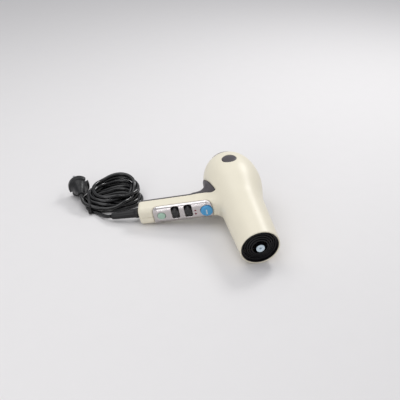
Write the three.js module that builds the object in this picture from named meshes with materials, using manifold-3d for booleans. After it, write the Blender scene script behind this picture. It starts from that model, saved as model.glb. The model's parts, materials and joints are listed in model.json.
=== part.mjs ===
// Household hair dryer lying on its left side, with its mains cord wound into a tied bundle.
// Millimetres, +Z up. The dryer is drawn upright in its own frame, then laid down as one group:
//   barrel axis along Y, air outlet at -Y, intake at +Y, handle towards -X, right side +Z.
// The handle has a frame of its own: u along the handle away from the barrel, v out of its
// front, w towards the dryer's right side.

import * as THREE from 'three';
import { mergeVertices } from 'three/addons/utils/BufferGeometryUtils.js';
import Module from 'manifold-3d';

// ---------- driving dimensions ----------

const GAP = 0.3; // clearance between pieces that touch

// barrel
const WALL = 2.5;
const OUTLET_Y = -154;
const OUTLET_R = 29.1;
const CONE_TOP_Y = -64; // the slim cone turns into the bulge here
const CONE_SLOPE = 0.043;
const BULGE_R = 44.6;
const DOME = { length: 66, power: 2.3 }; // the rear dome, a blunt ellipse
const SHELL_REAR_Y = 51;
const CAP_REAR_Y = 60;
const BARREL_SEGMENTS = 40;

// handle
const HANDLE_ROOT_Y = -39.5; // where the handle's middle line meets the barrel's axis
const HANDLE_LEAN = 12 * Math.PI / 180; // its end leans towards the intake
const HANDLE_LENGTH = 156;
const HALF_DEPTH = { root: 15.6, end: 15 };
const HALF_WIDTH = { root: 16.4, end: 15.2 };
const ROOT_FLARE = { width: 4.5, from: 46, over: 16 }; // the handle widens into the barrel
const CORNER_R = 8;
const SEAM_V = -8; // the dark back shell lies behind this plane
const TONGUE = { startU: 33, tipX: -44, tipY: 24 }; // the shell's end under the barrel
const WEB = { half: 15, round: 7 }; // half width and edge rounding of the web behind the handle

// switch panel, along the handle
const PANEL = { start: 38, end: 134, sideV: 9, cornerR: 5 };
const SPEED_U = 98.5;
const HEAT_U = 78.5;
const ROCKER = { length: 10.6, half: 9.6, w: 2.6, tip: 5.6, mid: 4.4, floor: 3, depth: 3 };
const ROCKER_TILT = 10 * Math.PI / 180;
const COOL_SHOT = { u: 50.5, r: 9.2, proud: 3 };
const ION_KEY = { u: 120.5, r: 6.1, proud: 1.6 };

// badge on each side of the bulge
const BADGE = { x: 3, y: 12, r: 11.2, thick: 1.2 };

// outlet grille and ion emitter
const RIM_WALL = 1.9;
const GRILLE_RECESS = 5; // how far the grille's outer edge sits inside the rim
const LINER = 1.1; // black sleeve inside the rim, part of the grille
const EMITTER = { r: 6.2, hubR: 8.6, hole: 1.3, proud: 2, back: 3.9 };

// strain relief and cord
const RELIEF = { rootR: 7.2, tipR: 4.9, length: 45, inner: 6, flangeR: 9 };
const CORD_R = 3;

// the cord wound into a hank beside the handle, in the frame of the surface it lies on
const HANK = {
  left: { x: -128, y: 106, r: 27 },
  right: { x: -100, y: 116, r: 41 },
  top: 31,
};
const TIE = { x: -150, width: 4, thick: 1.5, knot: 5, knotZ: 4.2 };
const LEAD_ROUTE = [
  [-118.9, 54.3, 7.8], [-122, 55.1, 7.2], [-127.4, 60, 5.5], [-132.6, 67.2, 4],
  [-137.6, 75.2, 3.1], [-141.8, 83, 3.1], [-145, 90, 3.1],
];
const TAIL_ROUTE = [
  [-137, 82.7, 13], [-145.3, 84.2, 12.2], [-152.6, 88.4, 12.4], [-158, 94.6, 14],
  [-160.4, 101, 16.8], [-161.2, 107.6, 18.9], [-161.7, 116, 18.7],
];
const PLUG = {
  head: [-163.3, 144.4, 17.3], // middle of the disc, which stands on its rim
  heading: [-0.055, 0.997, -0.05],
  roll: 0.94,
  headR: 17,
  headHalf: 5,
  bodyLength: 33,
  cordEndR: 5.2,
  notch: { width: 5.2, depth: 4.5 },
  pinR: 2.4,
  pinLength: 19,
  pinSpacing: 19,
};

// how the dryer lies: on its bulge, its outlet rim and the end of its handle
const ROLL_TO_HANDLE = -10.91 * Math.PI / 180;
const PITCH_TO_OUTLET = 5.89 * Math.PI / 180;

// ---------- materials ----------

function finish(color, roughness, metalness = 0) {
  return new THREE.MeshStandardMaterial({ color, roughness, metalness });
}

const CREAM = finish(0xe8e2d0, 0.35);
const DARK_GREY = finish(0x4e494b, 0.45);
const BLACK = finish(0x17131b, 0.5);
const SILVER = finish(0xb0abaa, 0.3, 0.7);
const SWITCH_BLACK = finish(0x29282c, 0.4);
const BLUE = finish(0x438fb7, 0.35);
const MINT = finish(0xa5bdb0, 0.35);
const PALE_BLUE = finish(0xcddce4, 0.3);
const STEEL = finish(0xb8bcc0, 0.3, 1);
const BRASS = finish(0xb59a57, 0.35, 1);
const MICA = finish(0xb7a98c, 0.7);
const COIL_WIRE = finish(0x6f6a66, 0.45, 1);
const MOULDED = finish(0x3a3b40, 0.6);
const CORD_BLACK = finish(0x18181a, 0.55);
const PLUG_BLACK = finish(0x2b2b2d, 0.5);

// ---------- solids ----------

const wasm = await Module();
wasm.setup();

const dryer = new THREE.Group();
const cordGroup = new THREE.Group();

// A three.js geometry as a closed solid: shared vertices merged, faces pointing out.
function solidOf(geometry) {
  const bare = geometry.clone();
  bare.deleteAttribute('normal');
  bare.deleteAttribute('uv');
  const merged = mergeVertices(bare, 1e-4);
  const index = merged.index.array;
  const kept = [];
  for (let i = 0; i < index.length; i += 3) {
    const [a, b, c] = [index[i], index[i + 1], index[i + 2]];
    if (a !== b && b !== c && c !== a) kept.push(a, b, c);
  }
  const build = (triangles) => new wasm.Manifold(new wasm.Mesh({
    numProp: 3,
    vertProperties: Float32Array.from(merged.attributes.position.array),
    triVerts: Uint32Array.from(triangles),
  }));
  const solid = build(kept);
  return solid.volume() > 0 ? solid : build(kept.reverse());
}

function geometryOf(solid) {
  const mesh = solid.getMesh();
  const geometry = new THREE.BufferGeometry();
  geometry.setAttribute('position', new THREE.BufferAttribute(mesh.vertProperties, 3));
  geometry.setIndex(new THREE.BufferAttribute(mesh.triVerts, 1));
  geometry.computeVertexNormals();
  return geometry;
}

function joined(solids) {
  return solids.reduce((sum, next) => sum.add(next));
}

function piece(name, shape, material, group = dryer) {
  const geometry = shape.isBufferGeometry ? shape : geometryOf(shape);
  const mesh = new THREE.Mesh(geometry, material);
  mesh.name = name;
  group.add(mesh);
  return mesh;
}

// A body of revolution about Y. The outline is a list of [radius, y] that closes on itself.
function turned(outline, segments = 24) {
  const points = outline.map(([r, y]) => new THREE.Vector2(r, y));
  points.push(points[0].clone());
  return solidOf(new THREE.LatheGeometry(points, segments));
}

function tubeRing(outer, inner, y0, y1, segments = 24) {
  return turned([[inner, y0], [outer, y0], [outer, y1], [inner, y1]], segments);
}

function disc(r, y0, y1, segments = 24) {
  return turned([[0, y0], [r, y0], [r, y1], [0, y1]], segments);
}

// An outline in XY, extruded the same way to both sides of the XY plane.
function slab(points, halfThickness, curveSegments = 5) {
  const shape = points instanceof THREE.Shape ? points : new THREE.Shape(points);
  const geometry = new THREE.ExtrudeGeometry(shape, {
    depth: 2 * halfThickness, bevelEnabled: false, curveSegments,
  });
  return solidOf(geometry.translate(0, 0, -halfThickness));
}

function block(sizeX, sizeY, sizeZ, x, y, z) {
  return solidOf(new THREE.BoxGeometry(sizeX, sizeY, sizeZ).translate(x, y, z));
}

// A closed body through a row of sections, each the same number of points.
function loft(sections) {
  const count = sections[0].length;
  const vertices = sections.flat();
  const triangles = [];
  for (let s = 0; s + 1 < sections.length; s++) {
    for (let i = 0; i < count; i++) {
      const a = s * count + i;
      const b = s * count + (i + 1) % count;
      triangles.push(a, b, a + count, b, b + count, a + count);
    }
  }
  const last = (sections.length - 1) * count;
  for (let i = 1; i + 1 < count; i++) {
    triangles.push(0, i + 1, i, last, last + i, last + i + 1);
  }
  const geometry = new THREE.BufferGeometry().setFromPoints(vertices);
  geometry.setIndex(triangles);
  return solidOf(geometry);
}

function placed(geometry, matrix) {
  return solidOf(geometryOf(geometry).applyMatrix4(matrix));
}

function mix(a, b, t) {
  return a + (b - a) * t;
}

function smooth(t) {
  return t * t * (3 - 2 * t);
}

// ---------- barrel outline ----------

function coneRadius(y) {
  return OUTLET_R + (y - OUTLET_Y) * CONE_SLOPE;
}

function barrelRadius(y) {
  if (y >= 0) return BULGE_R * Math.sqrt(1 - (y / DOME.length) ** DOME.power);
  if (y <= CONE_TOP_Y) return coneRadius(y);
  return mix(coneRadius(y), BULGE_R, smooth(1 - y / CONE_TOP_Y));
}

function barrelSolid(inset, y0, y1) {
  const outline = [[0, y0]];
  outline.push([barrelRadius(y0) - inset, y0]);
  for (const y of [-108, -64, -54, -46, -38, -30, -22, -14, -6, 4, 14, 24, 33, 41, 46]) {
    if (y > y0 && y < y1) outline.push([barrelRadius(y) - inset, y]);
  }
  outline.push([barrelRadius(Math.min(y1, SHELL_REAR_Y)) - inset, y1]);
  outline.push([0, y1]);
  return turned(outline, BARREL_SEGMENTS);
}

// ---------- handle outline ----------

const handleFrame = new THREE.Matrix4().makeBasis(
  new THREE.Vector3(-Math.cos(HANDLE_LEAN), Math.sin(HANDLE_LEAN), 0),
  new THREE.Vector3(-Math.sin(HANDLE_LEAN), -Math.cos(HANDLE_LEAN), 0),
  new THREE.Vector3(0, 0, 1),
).setPosition(0, HANDLE_ROOT_Y, 0);

function inHandle(solid, u = 0, v = 0, w = 0) {
  const move = handleFrame.clone().multiply(new THREE.Matrix4().makeTranslation(u, v, w));
  return placed(solid, move);
}

function halfDepth(u) {
  return mix(HALF_DEPTH.root, HALF_DEPTH.end, u / HANDLE_LENGTH);
}

function halfWidth(u) {
  const flare = smooth(Math.min(1, Math.max(0, (ROOT_FLARE.from - u) / ROOT_FLARE.over)));
  return mix(HALF_WIDTH.root, HALF_WIDTH.end, u / HANDLE_LENGTH) + ROOT_FLARE.width * flare;
}

// Rounded rectangle across the handle at u, drawn in from the handle's surface by inset.
function handleSection(u, inset) {
  const depth = halfDepth(u) - inset;
  const width = halfWidth(u) - inset;
  const r = Math.max(CORNER_R - inset, 1.5);
  const steps = 5;
  const points = [];
  for (const [sv, sw, from] of [[1, 1, 0], [-1, 1, 1], [-1, -1, 2], [1, -1, 3]]) {
    for (let i = 0; i <= steps; i++) {
      const angle = (from + i / steps) * Math.PI / 2;
      const v = sv * (depth - r) + r * Math.cos(angle);
      const w = sw * (width - r) + r * Math.sin(angle);
      points.push(new THREE.Vector3(u, v, w));
    }
  }
  return points;
}

function handleSolid(inset, u0, u1) {
  const sections = [u0, 30, 35, 41, 46].map((u) => handleSection(u, inset));
  const rounding = 3.5;
  for (const angle of [0, 30, 60, 90]) {
    const t = angle * Math.PI / 180;
    const u = u1 - rounding + rounding * Math.sin(t);
    sections.push(handleSection(u, inset + rounding * (1 - Math.cos(t))));
  }
  return inHandle(loft(sections));
}

// ---------- casings ----------

// The web fills the corner between the handle's back and the barrel. Its outer edge is rounded.
function webOutline(drop, z) {
  const edge = new THREE.SplineCurve([
    new THREE.Vector2(-76, -11 - drop),
    new THREE.Vector2(-64, -10 - drop),
    new THREE.Vector2(-54 + 0.6 * drop, -6.5 - 0.8 * drop),
    new THREE.Vector2(-46.5 + drop, 1 - 0.4 * drop),
    new THREE.Vector2(-43 + drop, 14),
  ]);
  const inside = [[-26, 14], [-26, -26], [-44, -30], [-74, -20]];
  const corners = inside.map(([x, y]) => new THREE.Vector2(x, y));
  const points = [...corners.slice(1), ...edge.getPoints(10), corners[0]];
  return points.map(({ x, y }) => new THREE.Vector3(x, y, z));
}

function webSolid(inset) {
  const { half, round } = WEB;
  const upper = [0, 30, 60, 90].map((angle) => {
    const t = angle * Math.PI / 180;
    const z = half - round + (round - inset) * Math.sin(t);
    return [inset + 0.8 * round * (1 - Math.cos(t)), z];
  });
  const lower = upper.toReversed().map(([drop, z]) => [drop, -z]);
  return loft([...lower, ...upper].map(([drop, z]) => webOutline(drop, z)));
}

// What belongs to the dark back shell: the handle's back, the web, and under the barrel the
// tongue that one slanting plane cuts off.
function backRegion(grow) {
  const seam = [[200, SEAM_V], [50, SEAM_V], [42, -6.6], [TONGUE.startU - grow, -3]].map(([u, v]) => {
    const point = new THREE.Vector3(u, v + grow, 0).applyMatrix4(handleFrame);
    return new THREE.Vector2(point.x, point.y);
  });
  const tip = new THREE.Vector2(TONGUE.tipX + grow, TONGUE.tipY);
  return slab([...seam, tip, new THREE.Vector2(-200, TONGUE.tipY)], 40);
}

function panelRegion(grow) {
  const { start, end, sideV, cornerR } = PANEL;
  const [u0, u1, v0] = [start - grow, end + grow, sideV - grow];
  const outline = new THREE.Shape();
  outline.moveTo(u0, 40);
  outline.lineTo(u0, v0 + cornerR);
  outline.quadraticCurveTo(u0, v0, u0 + cornerR, v0);
  outline.lineTo(u1 - cornerR, v0);
  outline.quadraticCurveTo(u1, v0, u1, v0 + cornerR);
  outline.lineTo(u1, 40);
  return inHandle(slab(outline, 40));
}

const handleOuter = handleSolid(0, 12, HANDLE_LENGTH);
const handleInner = handleSolid(WALL, 12, HANDLE_LENGTH - 3);
const outerForm = joined([
  barrelSolid(0, OUTLET_Y, SHELL_REAR_Y),
  handleOuter,
  webSolid(0),
]);
const innerForm = joined([
  barrelSolid(WALL, OUTLET_Y + GRILLE_RECESS + 8, SHELL_REAR_Y + 5),
  disc(OUTLET_R - RIM_WALL, OUTLET_Y - 5, OUTLET_Y + GRILLE_RECESS + 9, BARREL_SEGMENTS),
  handleInner,
  webSolid(WALL),
]);
const reliefHole = inHandle(placed(
  disc(RELIEF.rootR + GAP, HANDLE_LENGTH - 10, HANDLE_LENGTH + 10, 16),
  new THREE.Matrix4().makeRotationZ(-Math.PI / 2),
));
const shell = outerForm.subtract(innerForm).subtract(reliefHole);

// Badge: a lens that follows the bulge, let into the barrel's side.
function badgeMatrix(side) {
  const radius = barrelRadius(BADGE.y);
  const slope = Math.atan((barrelRadius(BADGE.y - 1) - barrelRadius(BADGE.y + 1)) / 2);
  const z = Math.sqrt(radius ** 2 - BADGE.x ** 2);
  const lift = new THREE.Matrix4().makeTranslation(BADGE.x, BADGE.y, side * z);
  const turn = new THREE.Matrix4().makeRotationX(side * (Math.PI / 2 - slope));
  const roll = new THREE.Matrix4().makeRotationY(side * Math.asin(BADGE.x / radius));
  return lift.multiply(roll).multiply(turn);
}

function badgeSolid(side, r, top, bottom) {
  const crown = (x) => Math.sqrt(BULGE_R ** 2 - x ** 2) - BULGE_R;
  const outline = [[0, bottom], [r / 2, bottom + crown(r / 2)], [r, bottom + crown(r)]];
  outline.push([r, top + crown(r)], [r / 2, top + crown(r / 2)], [0, top]);
  return placed(turned(outline, 20), badgeMatrix(side));
}

// Screw posts inside the handle: one boss in each half, the head sunk in the left half.
const SCREW_PLACES = [{ u: 64.5, v: -3.4 }, { u: 141, v: -2 }];
const POST_R = 3.4;

function alongW(r, w0, w1, { u, v }, segments = 12) {
  const turn = new THREE.Matrix4().makeRotationX(Math.PI / 2);
  return inHandle(placed(disc(r, w0, w1, segments), turn), u, v, 0);
}

function housing(side) {
  const half = block(400, 400, 100, 0, 0, side * (50 + GAP / 2));
  let body = shell.subtract(backRegion(GAP)).subtract(panelRegion(GAP));
  for (const place of SCREW_PLACES) {
    body = body.add(alongW(POST_R, -13.6, 13.6, place).subtract(alongW(1.6, -20, 20, place)));
  }
  body = body.intersect(half);
  if (side < 0) {
    for (const place of SCREW_PLACES) {
      body = body.subtract(alongW(1.6, -20, 0, place)).subtract(alongW(3, -20, -8, place));
    }
  }
  const pocket = badgeSolid(side, BADGE.r + GAP, 4, -BADGE.thick - GAP);
  return body.subtract(pocket);
}

function casings() {
  piece('right_housing', housing(1), CREAM);
  piece('left_housing', housing(-1), CREAM);
  piece('back_shell', shell.intersect(backRegion(0)), DARK_GREY);
  piece('right_badge', badgeSolid(1, BADGE.r, 0, -BADGE.thick), DARK_GREY);
  piece('left_badge', badgeSolid(-1, BADGE.r, 0, -BADGE.thick), DARK_GREY);
  SCREW_PLACES.forEach((place, i) => {
    const head = alongW(2.6, -10.6, -8.3, place);
    const shank = alongW(1.2, -8.5, 7, place, 8);
    piece(`housing_screw_${i + 1}`, head.add(shank), STEEL);
  });
}

// ---------- rear intake cap ----------

function intakeCap() {
  const y0 = SHELL_REAR_Y + GAP;
  const rimR = barrelRadius(y0);
  const rimEndY = y0 + 2.5;
  const dome = (r) => mix(CAP_REAR_Y, rimEndY + 1, (r / rimR) ** 2);
  const radii = [0, 10, 20, 25];
  const outline = [
    ...radii.map((r) => [r, dome(r) - 2.2]),
    [25, 46], [26, 46], [26, y0], [rimR, y0], [barrelRadius(rimEndY), rimEndY],
    ...radii.toReversed().map((r) => [r, dome(r)]),
  ];
  const slots = [[6.5, 9], [11, 14], [16, 19], [21, 23.5]].map(([a, b]) => (
    tubeRing(b, a, 47, 70, 24)
  ));
  const spokes = [];
  for (let i = 0; i < 6; i++) {
    const spoke = new THREE.BoxGeometry(2.4, 40, 70).rotateY(i * Math.PI / 6);
    spokes.push(solidOf(spoke.translate(0, 60, 0)));
  }
  const openings = joined(slots).subtract(joined(spokes));
  piece('intake_cap', turned(outline, 32).subtract(openings), DARK_GREY);
  piece('intake_filter', disc(24.6, 48.4, 49.4), STEEL);
}

// ---------- motor and fan ----------

const SHAFT_R = 2;

function motor() {
  piece('motor_can', tubeRing(20, 3.4, 4, 40), STEEL);
  piece('rear_bearing', tubeRing(6, SHAFT_R + 0.15, 40.3, 44, 16), BRASS);
  piece('front_bearing', tubeRing(6, SHAFT_R + 0.15, 0, 3.7, 16), BRASS);
  const arms = [];
  for (let i = 0; i < 3; i++) {
    const arm = new THREE.BoxGeometry(13, 10, 3).translate(28.5, 14, 0);
    arms.push(solidOf(arm.rotateY(Math.PI / 6 + i * 2 * Math.PI / 3)));
  }
  piece('motor_cradle', joined([tubeRing(23, 20.3, 9, 19), ...arms]), BLACK);
  piece('motor_shaft', disc(SHAFT_R, -22, 43.5, 16), STEEL);
}

function fan() {
  const parts = [tubeRing(11, SHAFT_R + GAP, -20, -5, 18)];
  const blades = 9;
  for (let i = 0; i < blades; i++) {
    const blade = new THREE.BoxGeometry(25, 15, 1.6).rotateX(0.7).translate(22.5, -12.5, 0);
    parts.push(solidOf(blade.rotateY(i * 2 * Math.PI / blades)));
  }
  piece('fan_impeller', joined(parts), BLACK);
}

function airGuide() {
  const nose = [[0, -56], [4, -55.5], [9, -51], [12, -42], [12, -28], [0, -28]];
  const parts = [turned(nose, 18), tubeRing(31.4, 29.6, -52, -42)];
  const vanes = 7;
  for (let i = 0; i < vanes; i++) {
    const vane = new THREE.BoxGeometry(20, 8, 1.4).rotateX(-0.4).translate(21, -46, 0);
    parts.push(solidOf(vane.rotateY(i * 2 * Math.PI / vanes)));
  }
  piece('air_guide', joined(parts), BLACK);
}

// ---------- heater ----------

const HEATER = { front: -136, rear: -62, boardHalf: 21, coilR: 22.8, wireR: 0.7 };

// One of two boards that slot into each other along the barrel's axis.
function micaBoard(slotFrom, slotTo) {
  const { front, rear, boardHalf } = HEATER;
  const board = block(2 * boardHalf, rear - front, 1, 0, (front + rear) / 2, 0);
  return board.subtract(block(1 + 2 * GAP, slotTo - slotFrom, 4, 0, (slotFrom + slotTo) / 2, 0));
}

class Helix extends THREE.Curve {
  constructor(radius, start, pitch, turns) {
    super();
    Object.assign(this, { radius, start, pitch, turns });
  }

  getPoint(t, target = new THREE.Vector3()) {
    const angle = t * this.turns * 2 * Math.PI;
    const along = this.start + t * this.turns * this.pitch;
    return target.set(this.radius * Math.cos(angle), along, this.radius * Math.sin(angle));
  }
}

function polygon(radius, sides) {
  const points = [];
  for (let i = 0; i < sides; i++) {
    const angle = i * 2 * Math.PI / sides;
    points.push(new THREE.Vector2(radius * Math.cos(angle), radius * Math.sin(angle)));
  }
  return new THREE.Shape(points);
}

function alongCurve(curve, radius, sides, steps) {
  return solidOf(new THREE.ExtrudeGeometry(polygon(radius, sides), {
    steps, extrudePath: curve, bevelEnabled: false,
  }));
}

function heater() {
  const { front, rear, coilR, wireR } = HEATER;
  const middle = (front + rear) / 2;
  piece('mica_board_flat', micaBoard(front - 1, middle + GAP), MICA);
  const upright = new THREE.Matrix4().makeRotationY(Math.PI / 2);
  piece('mica_board_upright', placed(micaBoard(middle - GAP, rear + 1), upright), MICA);
  piece('mica_sleeve', tubeRing(25.8, 25, front, rear), MICA);
  const turns = 4;
  piece('front_coil', alongCurve(new Helix(coilR, front + 6, 6, turns), wireR, 5, 48), COIL_WIRE);
  piece('rear_coil', alongCurve(new Helix(coilR, middle + 5, 6, turns), wireR, 5, 48), COIL_WIRE);
  piece('thermostat', block(9, 10, 6, 9, middle, 4.2), STEEL);
  piece('thermal_fuse', solidOf(
    new THREE.CylinderGeometry(1.8, 1.8, 12, 10).translate(-9, middle, 3),
  ), BRASS);
}

// ---------- outlet ----------

function outlet() {
  const outer = OUTLET_R - RIM_WALL - GAP;
  const base = OUTLET_Y + GRILLE_RECESS;
  const front = (r) => mix(OUTLET_Y + 0.8, base, smooth(Math.min(1, (r - 7) / 17)));
  const ring = (r0, r1) => turned([
    [r0, front(r0)], [r1, front(r0)], [r1, front(r0) + 4], [r0, front(r0) + 4],
  ], 28);
  const parts = [
    turned([
      [outer - 2.2, base + 8], [outer - 2.2, base], [outer - LINER, base], [outer - LINER, OUTLET_Y + 0.8],
      [outer, OUTLET_Y + 0.8], [outer, base + 8],
    ], 32),
    ring(19.4, 21),
    ring(14.4, 16),
    tubeRing(EMITTER.hubR, EMITTER.r + GAP, OUTLET_Y + 0.8 - EMITTER.proud, OUTLET_Y + 9, 20),
    disc(EMITTER.r + 1.3, OUTLET_Y + EMITTER.back + 0.7, OUTLET_Y + 9, 20),
  ];
  for (let i = 0; i < 6; i++) {
    const outline = [7.5, 12, 16, 20, outer - 1].map((r) => new THREE.Vector2(r, front(r) + 0.6));
    outline.push(new THREE.Vector2(outer - 1, base + 5), new THREE.Vector2(7.5, OUTLET_Y + 7));
    const turn = new THREE.Matrix4().makeRotationY(i * Math.PI / 3);
    parts.push(placed(slab(outline, 0.7), turn));
  }
  piece('outlet_grille', joined(parts), BLACK);
  const { r, hole, proud, back } = EMITTER;
  const face = OUTLET_Y - proud;
  piece('ion_emitter_disc', turned([
    [hole, face + 1], [r - 1.2, face], [r, face + 0.8],
    [r, OUTLET_Y + back], [hole, OUTLET_Y + back],
  ], 20), PALE_BLUE);
  piece('ion_emitter_needle', turned([
    [0, face + 0.6], [0.7, face + 2.4], [0.7, OUTLET_Y + back + 0.3], [0, OUTLET_Y + back + 0.3],
  ], 8), STEEL);
}

// ---------- switch panel ----------

function rockerHole(u) {
  const hole = block(ROCKER.length + 1, 20, 2 * ROCKER.half + 1.6, 0, 0, 0);
  return inHandle(hole, u, halfDepth(u), ROCKER.w);
}

function buttonHole({ u, r }) {
  return inHandle(disc(r + GAP, -10, 10), u, halfDepth(u), 0);
}

// Rocker in profile: two shallow paddles over a round-sided body, tilted about its pivot.
function rocker(u) {
  const { half, tip, mid, floor, length, depth } = ROCKER;
  const outline = [
    new THREE.Vector2(-half + 1.5, -floor), new THREE.Vector2(half - 1.5, -floor),
    new THREE.Vector2(half, 1), new THREE.Vector2(half, tip - 1),
    new THREE.Vector2(half - 1, tip), new THREE.Vector2(half - 3, tip),
    new THREE.Vector2(0, mid), new THREE.Vector2(-half + 3, tip),
    new THREE.Vector2(-half + 1, tip), new THREE.Vector2(-half, tip - 1),
    new THREE.Vector2(-half, 1),
  ];
  const body = geometryOf(slab(outline, length / 2));
  body.rotateZ(-ROCKER_TILT).rotateY(Math.PI / 2);
  return inHandle(solidOf(body), u, halfDepth(u) - depth, ROCKER.w);
}

// A round button: domed head through the panel, a flange that keeps it in, and a stem.
function button({ u, r, proud }) {
  const outline = [
    [0, -11], [1.8, -11], [1.8, -5], [r + 1.2, -5], [r + 1.2, -WALL - 1.4],
    [r, -WALL - 1.4], [r, proud - 0.8], [r - 1.2, proud], [0, proud + 0.5],
  ];
  return inHandle(turned(outline, 20), u, halfDepth(u), 0);
}

function returnSpring({ u }, wire) {
  const coil = new Helix(3.2, -13.3, 2.6, 3);
  return inHandle(alongCurve(coil, wire, 5, 30), u, halfDepth(u), 0);
}

function moduleBlock(u, sizeU, sizeV, sizeW, top) {
  return inHandle(block(sizeU, sizeV, sizeW, 0, top - sizeV / 2, 0), u, halfDepth(u), 0);
}

function controls() {
  const panel = [rockerHole(SPEED_U), rockerHole(HEAT_U), buttonHole(COOL_SHOT), buttonHole(ION_KEY)]
    .reduce((body, hole) => body.subtract(hole),
      handleOuter.subtract(handleInner).intersect(panelRegion(0))
        .subtract(barrelSolid(-GAP, OUTLET_Y, SHELL_REAR_Y)));
  piece('switch_panel', panel, SILVER);
  piece('speed_rocker', rocker(SPEED_U), SWITCH_BLACK);
  piece('heat_rocker', rocker(HEAT_U), SWITCH_BLACK);
  piece('speed_switch', moduleBlock(SPEED_U, 13, 9, 14, -8), BLACK);
  piece('heat_switch', moduleBlock(HEAT_U, 13, 9, 14, -8), BLACK);
  piece('cool_shot_button', button(COOL_SHOT), BLUE);
  piece('cool_shot_spring', returnSpring(COOL_SHOT, 0.4), STEEL);
  piece('cool_shot_switch', moduleBlock(COOL_SHOT.u, 12, 6, 12, -14), BLACK);
  piece('ion_button', button(ION_KEY), MINT);
  piece('ion_button_spring', returnSpring(ION_KEY, 0.4), STEEL);
  piece('ion_switch', moduleBlock(ION_KEY.u, 10, 6, 10, -14), BLACK);
  piece('ion_generator', inHandle(block(22, 8, 16, 92, -7.6, 0)), BLACK);
}

// ---------- strain relief ----------

function strainRelief() {
  const { rootR, tipR, length, inner, flangeR } = RELIEF;
  const outline = [
    [0, -inner], [flangeR, -inner], [flangeR, -3.4], [rootR, -3.4], [rootR, 2],
    [rootR + 0.8, 2.4], [rootR, 7], [tipR, length - 1.5], [tipR - 1, length], [0, length],
  ];
  const alongU = new THREE.Matrix4().makeRotationZ(-Math.PI / 2);
  const relief = inHandle(placed(turned(outline, 16), alongU), HANDLE_LENGTH);
  piece('strain_relief', relief, MOULDED);
  piece('cord_clamp', inHandle(block(5, 7, 14, 131, -6, 0)), BLACK);
}

// ---------- cord ----------

function hankSolid(grow) {
  const { left, right, top } = HANK;
  const run = Math.atan2(right.y - left.y, right.x - left.x);
  const apart = Math.hypot(right.x - left.x, right.y - left.y);
  const side = Math.PI / 2 + Math.asin((right.r - left.r) / apart);
  const outline = new THREE.Shape();
  outline.absarc(left.x, left.y, left.r + grow, run + side, run - side + 2 * Math.PI, false);
  outline.absarc(right.x, right.y, right.r + grow, run - side, run + side, false);
  const lift = new THREE.Matrix4().makeTranslation(0, 0, (GAP + top) / 2);
  return placed(slab(outline, (top - GAP) / 2 + grow, 9), lift);
}

// The tie sits in a shallow groove round the hank, with its knot in front.
function hankAndTie() {
  const band = (width) => block(width, 200, 100, TIE.x, HANK.left.y, 0);
  const hank = hankSolid(0);
  const groove = hank.subtract(hankSolid(-TIE.thick - GAP)).intersect(band(TIE.width + 2 * GAP));
  piece('cord_hank', hank.subtract(groove), CORD_BLACK, cordGroup);
  const strap = hank.subtract(hankSolid(-TIE.thick)).intersect(band(TIE.width));
  const chord = Math.sqrt(HANK.left.r ** 2 - (TIE.x - HANK.left.x) ** 2);
  const front = HANK.left.y - chord;
  const knot = block(TIE.width, TIE.knot + 4, TIE.knot, TIE.x, front + 0.5, TIE.knotZ);
  piece('cord_tie', strap.add(knot.subtract(hankSolid(-TIE.thick))), MOULDED, cordGroup);
}

function freeCord(name, route, steps) {
  const curve = new THREE.CatmullRomCurve3(route.map((at) => new THREE.Vector3(...at)));
  const tube = alongCurve(curve, CORD_R, 12, steps);
  piece(name, tube.subtract(hankSolid(GAP)), CORD_BLACK, cordGroup);
}

function plug() {
  const { headR, headHalf, bodyLength, cordEndR, notch, pinR, pinLength, pinSpacing } = PLUG;
  const back = -bodyLength;
  const outline = [
    [0, back + 6], [CORD_R + GAP, back + 6], [CORD_R + GAP, back], [cordEndR, back],
    [cordEndR + 0.6, back + 8], [8.5, back + 14], [11, -headHalf - 8], [14, -headHalf - 3],
    [headR - 0.6, -headHalf], [headR, -headHalf + 1],
    [headR, headHalf - 1], [headR - 1, headHalf], [0, headHalf],
  ];
  let body = turned(outline, 32);
  const pins = [-1, 1].map((side) => side * pinSpacing / 2);
  for (const x of pins) {
    const socket = new THREE.CylinderGeometry(pinR + GAP, pinR + GAP, 6, 16);
    body = body.subtract(solidOf(socket.translate(x, headHalf - 2, 0)));
  }
  for (const side of [-1, 1]) {
    body = body.subtract(block(notch.width, 44, 2 * notch.depth, 0, 0, side * headR));
  }
  const axis = new THREE.Vector3(...PLUG.heading).normalize();
  const aim = new THREE.Quaternion().setFromUnitVectors(new THREE.Vector3(0, 1, 0), axis);
  const roll = new THREE.Quaternion().setFromAxisAngle(new THREE.Vector3(0, 1, 0), PLUG.roll);
  const one = new THREE.Vector3(1, 1, 1);
  const stand = new THREE.Matrix4().compose(new THREE.Vector3(...PLUG.head), aim.multiply(roll), one);
  piece('plug_body', placed(body, stand), PLUG_BLACK, cordGroup);
  pins.forEach((x, i) => {
    const y0 = headHalf - 4;
    const pin = turned([
      [0, y0], [pinR, y0], [pinR, headHalf + pinLength - 1.5],
      [pinR - 1.2, headHalf + pinLength], [0, headHalf + pinLength],
    ], 16);
    const shift = stand.clone().multiply(new THREE.Matrix4().makeTranslation(x, 0, 0));
    piece(`plug_pin_${i + 1}`, placed(pin, shift), STEEL, cordGroup);
  });
}

casings();
intakeCap();
motor();
fan();
airGuide();
heater();
outlet();
controls();
strainRelief();
hankAndTie();
freeCord('cord_lead', LEAD_ROUTE, 8);
freeCord('cord_tail', TAIL_ROUTE, 9);
plug();

// Laid down, with the middle of its footprint's box at the origin and its lowest point at z = 0.
dryer.rotation.set(PITCH_TO_OUTLET, ROLL_TO_HANDLE, 0);
const lying = new THREE.Box3().setFromObject(dryer, true);
const footprint = lying.getCenter(new THREE.Vector3());
dryer.position.set(-footprint.x, -footprint.y, -lying.min.z);

const part = new THREE.Group();
part.add(dryer);
part.add(cordGroup);

export default part;
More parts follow.
